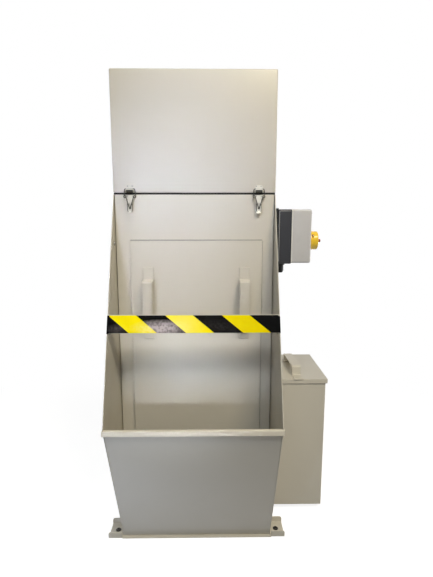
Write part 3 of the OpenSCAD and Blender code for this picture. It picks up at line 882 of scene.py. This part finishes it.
# Strap handle bent from flat bar, a weld bead round each foot; place turns (along, out, across) into a point
def addStrap(bm, beads, place):
    h, t, up, inner = strap["half"], strap["thick"], strap["rise"], strap["bend"] - strap["thick"]
    bendAt = h - strap["foot"]
    points = [(-t, h), (-t, bendAt), (-up, bendAt - strap["slant"]), (-up, -bendAt + strap["slant"]),
        (-t, -bendAt), (-t, -h)]
    path = roundPath(points, [inner, strap["bend"], strap["bend"], inner])
    half = strap["width"] / 2

    def edgeways(out, along, across):
        return place(along, out, across)

    addPrism(bm, sheetOutline(path, t), -half, half, edgeways)
    for s in (-1, 1):
        start = s * (bendAt + 6)
        run = [(start, half), (s * (h - 1), half), (s * h, half - 1), (s * h, 1 - half), (s * (h - 1), -half),
            (start, -half)]
        fine = []
        for (a, b), (c, d) in zip(run, run[1:]):
            steps = max(1, int(math.hypot(c - a, d - b) / strap["beadStep"]))
            fine += [(a + (c - a) * k / steps, b + (d - b) * k / steps) for k in range(steps)]
        fine.append(run[-1])
        bead = []
        for k, (along, across) in enumerate(fine):
            bead.append(place(along, -1.0 - 0.35 * math.sin(k * 1.9), across))
        addWire(beads, bead, strap["bead"])


for name, x in strap["x"].items():
    def onPanel(along, out, across):
        return (x + across, panel["face"] + out, strap["z"] + along)

    bm, beads = bmesh.new(), bmesh.new()
    addStrap(bm, beads, onPanel)
    finishPiece("panelHandle" + name, bm, paint, "access_panel", ("panel_handle_" + name.lower(),),
        1.2, 3)
    finishPiece("handleWelds" + name, beads, weldPaint, "access_panel", ())
print("access panel made")

# Draw latches: heights from the seam and depths from the wall
latch = {"x": 241, "pinY": -9, "pinZ": -28, "hookZ": 17}
keeper = {"half": 14.5, "low": 6, "high": 31, "round": 3.5, "plate": 2.5, "hook": 13,
    "rivets": ((-8.5, 27), (8.5, 27))}
base = {"half": 13, "low": -38, "high": -5, "round": 3, "plate": 2, "ear": 8.2,
    "rivets": ((-9.5, -9.5), (9.5, -9.5), (0, -35))}
lever = {"half": 8, "root": -23, "tip": -60, "face": -15, "sheet": 1.8, "edge": -6.5, "flange": 1.7,
    "rolled": 8.5, "flick": 6.5, "slot": 5.2, "slotZ": (-39, -58), "web": (6.2, -64, -31.5)}
bail = {"z": -55, "faceY": -17.2, "wire": 1.6, "coil": (18, -12), "radius": 3.9, "turns": 2.5, "pitch": 1.7,
    "steps": 44}


# A plate's outline with rounded corners, from the middle of its top
def plateOutline(plate):
    half, low, high = plate["half"], plate["low"], plate["high"]
    corners = [(0, high), (-half, high), (-half, low), (half, low), (half, high), (0, high)]
    return roundPath(corners, plate["round"])[1:]


wall, seam = body["front"], body["seam"]
for side, s in (("left", -1), ("right", 1)):
    cx = s * latch["x"]
    name = side.capitalize()

    def atLatch(u, v, d):
        return (cx + d, wall + u, seam + v)

    def facing(u, v, d):
        return (cx + u, wall + d, seam + v)

    # Keeper: pressed hook on a riveted plate, its belly in the dark wire finish as painted shade
    bm = bmesh.new()
    hook = sheetOutline(roundPath([(-17, 17.4), (-17, 12), (-0.4, 12), (-0.4, 19)], [3.4, 3]), 2.5)
    addPrism(bm, hook, -keeper["hook"], keeper["hook"], atLatch)
    belly = [(y, 12.3 + (z - 12.3) * 1.35) for y, z in bend((-8.5, 12.3), 7.6, 180, 360, 10)]
    addPrism(bm, belly, 1 - keeper["hook"], keeper["hook"] - 1, atLatch, 1)
    addPrism(bm, plateOutline(keeper), -keeper["plate"], 0, facing)
    finishPiece("keeper" + name, bm, [zinc, shadedSpringWire], "collector", ("keeper_" + side,), 0.5)
    bm = bmesh.new()
    for plate, radius, high in ((keeper, 2.6, 1.8), (base, 2.3, 1.4)):
        for u, v in plate["rivets"]:
            spot = turnedAt(cx + u, wall - plate["plate"], seam + v, "-Y")
            addTurned(bm, domeHead(radius, high, 0.2), spot, 16)
    finishPiece("latchRivets" + name, bm, stainless, "collector")

    # Base: plate with two rounded ears round the pin
    bm = bmesh.new()
    addPrism(bm, plateOutline(base), -base["plate"], 0, facing)
    ear = [(-1, -36), (-1, -20)] + bend((latch["pinY"], latch["pinZ"]), 6, 90, 270, 8)
    for u in (-base["ear"] - 2, base["ear"]):
        addPrism(bm, ear, u, u + 2, atLatch)
    finishPiece("latchBase" + name, bm, zinc, "collector", ("latch_base_" + side,), 0.4)

    # Lever: pressed channel with a rounded tip, a slot for the wires and a lip for the finger
    bm = bmesh.new()
    half, tipZ, face = lever["half"], lever["tip"], lever["face"]
    tip = [(-half, lever["root"]), (-half, tipZ)] + bend((0, tipZ), half, 180, 360, 10)[1:]
    tip.append((half, lever["root"]))
    slot = []
    for z, first in zip(lever["slotZ"], (0, 180)):
        slot += bend((0, z), lever["slot"], first, first + 180, 10)
    middle = (0, -46)
    turns = sorted({round(math.atan2(v - middle[1], u - middle[0]), 5) for u, v in tip + slot})
    rim, hole = crossings(tip, middle, turns), crossings(slot, middle, turns)
    under = face + lever["sheet"]
    addLoops(bm, [[facing(u, v, d) for u, v in ring] for ring, d in (
        (rim, face), (hole, face), (hole, under), (rim, under))], closed=True)
    for run in (tip[:3], tip[-3:]):
        flange = sheetOutline([Vector(p) for p in run], lever["flange"])
        addPrism(bm, flange, under - 0.1, lever["edge"], facing)
    flick = sheetOutline(roundPath([(-20, -71), (-15.2, -69.5), (-15.2, -63.8)], 4), -1.4)
    addPrism(bm, flick, -lever["flick"], lever["flick"], atLatch)
    pin = turnedAt(cx, wall + latch["pinY"], seam + latch["pinZ"], "+X")
    addTurned(bm, [(1.7, -11.6), (2.4, -11), (2.45, 11), (1.7, 11.6)], pin, 20)
    finishPiece("latchLever" + name, bm, zinc, "latch_lever_" + side, ("latch_lever_" + side,),
        0.3)

    # The lever's rolled edge in the dark wire finish, a painted shade outline, and the web seen through its
    # slot
    bm = bmesh.new()
    r = lever["rolled"]
    edge = [(-r, -37.5), (-r, -48)] + bend((0, tipZ), r, 180, 360, 14) + [(r, -48), (r, -37.5)]
    addWire(bm, [facing(u, v, -13.9) for u, v in edge], 1.4)
    half, low, high = lever["web"]
    addPrism(bm, boxOutline(-half, half, low, high), lever["edge"] - 0.6, lever["edge"], facing, 1)
    finishPiece("leverEdge" + name, bm, [shadedSpringWire, zinc], "latch_lever_" + side, ())

    # Bail: one spring wire from the hook, round a coil at each side, over the lever's face and in by its slot
    bm = bmesh.new()
    low, face, steps = bail["z"], bail["faceY"] - latch["pinY"], bail["steps"]
    half = [(0, 0, low), (1.7, -0.3, low + 0.1), (2.5, -3.2, low + 1.6), (2.8, face, low + 5.2)]
    coilX, coilZ = bail["coil"]
    entry = Vector((coilX - bail["radius"], face + 2.6, coilZ - 1))
    for part in (0.5, 0.72):
        half.append(tuple(Vector(half[-1]).lerp(entry, part)))
    for k in range(steps + 1):
        a = math.pi + 2 * math.pi * bail["turns"] * k / steps
        rise = face + 3.4 + bail["turns"] * bail["pitch"] * k / steps
        half.append((coilX + bail["radius"] * math.cos(a), rise, coilZ + bail["radius"] * math.sin(a)))
    out, high = coilX + 1.2, latch["hookZ"]
    half += [(out + 1.6, -0.8, coilZ + 9), (out, -0.4, high - 4), (out - 1.2, 0, high - 0.6),
        (out - 3.6, 0, high), (0, 0, high)]
    ring = half + [(-x, y, z) for x, y, z in reversed(half[1:-1])]
    addWire(bm, [(cx + x, wall + latch["pinY"] + y, seam + z) for x, y, z in ring], bail["wire"], True)
    finishPiece("latchBail" + name, bm, shadedSpringWire, "latch_bail_" + side, ("latch_bail_" + side,))
print("latches made")

# Switch box: dark base and pale cover, each moulded with soft corners, and a foam cord between them. A bead
# # runs round the base's front, and pale strips on its left and top are a painted highlight where its edge
# catches light
box = {"y": -220, "deep": 60, "corner": 6, "base": (314, 363.6), "baseZ": (1138, 1342), "cover": (364.6, 439),
    "coverZ": (1141, 1342), "bead": (316, 360, 1144, 1336.5), "screw": 5, "screwY": 48, "screwIn": 14}


# A moulding of the box, of rings at (inset, x)
def boxShell(profile, span, corner, closed=False, steps=5):
    bm = bmesh.new()
    low, high = span
    addShell(bm, (box["y"], (low + high) / 2), (box["deep"], (high - low) / 2), corner, profile, alongX,
        closed, steps)
    return bm


x0, x1 = box["base"]
profile = [(1.2, x0), (0.2, x0 + 1), (0, x0 + 3), (0, x1 - 3.4), (0.9, x1 - 2.6), (0.9, x1)]
bm = boxShell(profile, box["baseZ"], box["corner"])
a0, a1, b0, b1 = box["bead"]
front = box["y"] - box["deep"]
bead = [[alongY(u, v, front - lift) for u, v in boxOutline(a0 + inset, a1 - inset, b0 + inset, b1 - inset)]
    for inset, lift in ((0, -0.2), (0.3, 0.8), (1.5, 0.8), (1.8, -0.2))]
addLoops(bm, bead, closed=True)
# Pale strips on the bead's left and top: painted highlight along its lit edges
for strip in ((a0 + 0.2, a0 + 1.6, b0 + 4, b1 - 1.8), (a0 + 0.2, a1 - 0.2, b1 - 1.6, b1 - 0.2)):
    addPrism(bm, boxOutline(*strip), front - 1.1, front - 0.4, alongY, 1)
finishPiece("switchBase", bm, [darkAbs, paleAbs], "collector", ("switch_base",), 0.2)
joint, (x0, x1) = x1, box["cover"]
profile = [(2, x0), (0.3, x0), (0, x0 + 0.4), (0, x0 + 5), (0.8, x0 + 5.6), (0.8, x0 + 6.4), (0.2, x0 + 7)]
profile += bend((8.2, x1 - 8), 8, 180, 90, 6)
bm = boxShell(profile, box["coverZ"], box["corner"] + 2, steps=6)
finishPiece("switchCover", bm, paleAbs, "collector", ("switch_cover",))
profile = [(4, joint - 0.2), (0.3, joint - 0.2), (-0.6, joint + 0.3), (-0.6, joint + 3.5), (0.3, joint + 4.1)]
profile.append((4, joint + 4.1))
finishPiece("coverSeal", boxShell(profile, box["coverZ"], box["corner"] + 2, closed=True), foam, "collector")
softCopy("switchSpacer", ["switch_spacer"], nylon, "collector", 1.0)
bm = bmesh.new()
r, (z0, z1) = box["screw"], box["coverZ"]
for y in (box["y"] - box["screwY"], box["y"] + box["screwY"]):
    for z in (z0 + box["screwIn"], z1 - box["screwIn"]):
        addTurned(bm, [(r, -0.6), (r, 0.5), (r - 0.8, 1.0), (0.6, 1.0)], turnedAt(x1, y, z, "+X"), 20)
finishPiece("coverScrews", bm, stainless, "collector")

# Rotary switch: yellow collar with padlock holes, red grip that turns in it
knob = {"z": 1224, "radius": 37.5, "length": 34, "grip": (28, 6), "gripCorner": 5.8, "hole": 4, "holeX": 12,
    "holeZ": 20}
knobMiddle = Vector((box["cover"][1], box["y"], knob["z"]))
onKnob = turnedAt(*knobMiddle, "+X")
bm = bmesh.new()
r, long = knob["radius"], knob["length"]
profile = [(r - 4, 0), (r, 0), (r, 4.5), (r - 1.8, 5.5), (r - 1.9, 8), (r - 2.2, long - 4)]
profile += [(r - 5.2 + 3 * math.cos(a), long - 3 + 3 * math.sin(a)) for a in (0.3, 0.8, 1.3, 1.57)]
profile += [(21.5, long), (21, long - 0.5), (21, long - 10.8), (2, long - 10.8)]
addTurned(bm, profile, onKnob, 72)
collar = finishPiece("switchCollar", bm, yellowPc, "collector", ("switch_collar",))
for turn in (0, 120, 240):
    spin = Matrix.Rotation(math.radians(turn), 3, "X")

    def chord(u, v, h):
        return knobMiddle + spin @ Vector((knob["holeX"] + v, h, knob["holeZ"] + u))

    drillHole(collar, knob["hole"], 60, chord, 24)
bm = bmesh.new()
profile = [(19, long - 10), (20, long - 9), (20, long), (19.2, long + 0.8), (15, long + 1)]
addTurned(bm, profile, onKnob, 48)
grip = []
for inset, height in ((0, 0.5), (0, 6.2), (0.8, 8.2), (2.4, 9)):
    ring = roundedRing(*[half - inset for half in knob["grip"]], knob["gripCorner"] - inset)
    grip.append([onKnob(u, v, long + height) for u, v in ring])
addLoops(bm, grip)
finishPiece("switchGrip", bm, redPc, "switch_grip", ("switch_grip",), sharp=40)

# Cable gland: moulded nylon with a hexagon and a ribbed cap
gland = {"x": 333, "hex": 17, "bore": 7.2, "ribs": 24, "ridge": 0.7}
bm = bmesh.new()
down = turnedAt(gland["x"], box["y"], box["baseZ"][0], "-Z")
addLoops(bm, [hexRing(gland["hex"] - inset, h, down) for inset, h in ((0.8, 0), (0, 0.8), (0, 9), (1.4, 10))])
addTurned(bm, [(12.4, 9), (12.4, 15), (gland["bore"], 15), (gland["bore"], 9)], down, 32, closed=True)
loops = []
for r, h in ((13, 14), (13, 29), (12.2, 32), (10.2, 36), (8.8, 39), (7.2, 39), (7, 37), (7, 14)):
    ridge = gland["ridge"] if 15 < h < 33 else 0.0
    ring = [(r - ridge * (k % 2), k * math.pi / gland["ribs"]) for k in range(2 * gland["ribs"])]
    loops.append([down(reach * math.cos(a), reach * math.sin(a), h) for reach, a in ring])
addLoops(bm, loops, closed=True)
finishPiece("cableGland", bm, nylon, "collector", ("switch_gland",), sharp=25)
print("switch made")

# Side tank: walls folded from one sheet round a floor, and a loose lid
tank = {"x": (305.2, 558), "y": (-136, 195), "z": (27, 622), "bend": 5, "lid": 625, "handle": (432, -6.5),
    "turn": 2.5}
bm = bmesh.new()
(x0, x1), (y0, y1) = tank["x"], tank["y"]
path = roundPath([(x0, y0), (x1, y0), (x1, y1), (x0, y1)], tank["bend"])
addPrism(bm, sheetOutline(path, body["sheet"]), *tank["z"], alongZ)
finishPiece("tankWalls", bm, paint, "collector", ("tank_front", "tank_back", "tank_outer"), 0.8)
softCopy("tankFloor", ["tank_floor"], paint, "collector", 0.8)
softCopy("tankLid", ["tank_lid"], paint, "tank_lid", 1.4, 3)
turn = math.radians(tank["turn"])


def onLid(along, out, across):
    return (tank["handle"][0] + across * math.cos(turn) - along * math.sin(turn),
        tank["handle"][1] + along * math.cos(turn) + across * math.sin(turn), tank["lid"] - out)


bm, beads = bmesh.new(), bmesh.new()
addStrap(bm, beads, onLid)
finishPiece("lidHandle", bm, paint, "tank_lid", ("tank_handle",), 1.2, 3)
finishPiece("lidHandleWelds", beads, weldPaint, "tank_lid", ())

# Water: still and a little cloudy, at the working level in the trough and the tank, a gap off their sheet
still = {"colour": "#B9B7A4", "level": 330, "gap": 0.4, "swell": 111.1, "swellDepth": 2}
water, tree, shader, place = startMaterial(
    "cloudyTankWater", still["colour"], 0.03, **{"IOR": 1.333, "Transmission Weight": 0.75})
addRelief(tree, shader, place, still["swell"], still["swellDepth"], 2.0, 0.3)
gap, level, off = still["gap"], still["level"], still["gap"] + body["sheet"]
low, back, reach = body["foot"] + body["sheet"] + 1, body["back"] - off, body["inner"] - trough["gap"] - gap
slope = (body["toeY"] - trough["lipY"]) / (trough["lipZ"] - body["foot"])
edges = [trough["lipY"] + (trough["lipZ"] - z) * slope + off for z in (level, low)]
bm = bmesh.new()
addPrism(bm, [(edges[0], level), (edges[1], low), (back, low), (back, level)], -reach, reach, alongX)
finishPiece("troughWater", bm, water, "collector")
bm = bmesh.new()
addPrism(bm, boxOutline(x0 + gap, x1 - off, y0 + off, y1 - off), tank["z"][0] + off, level, alongZ)
finishPiece("tankWater", bm, water, "collector")
print("tank and water made")
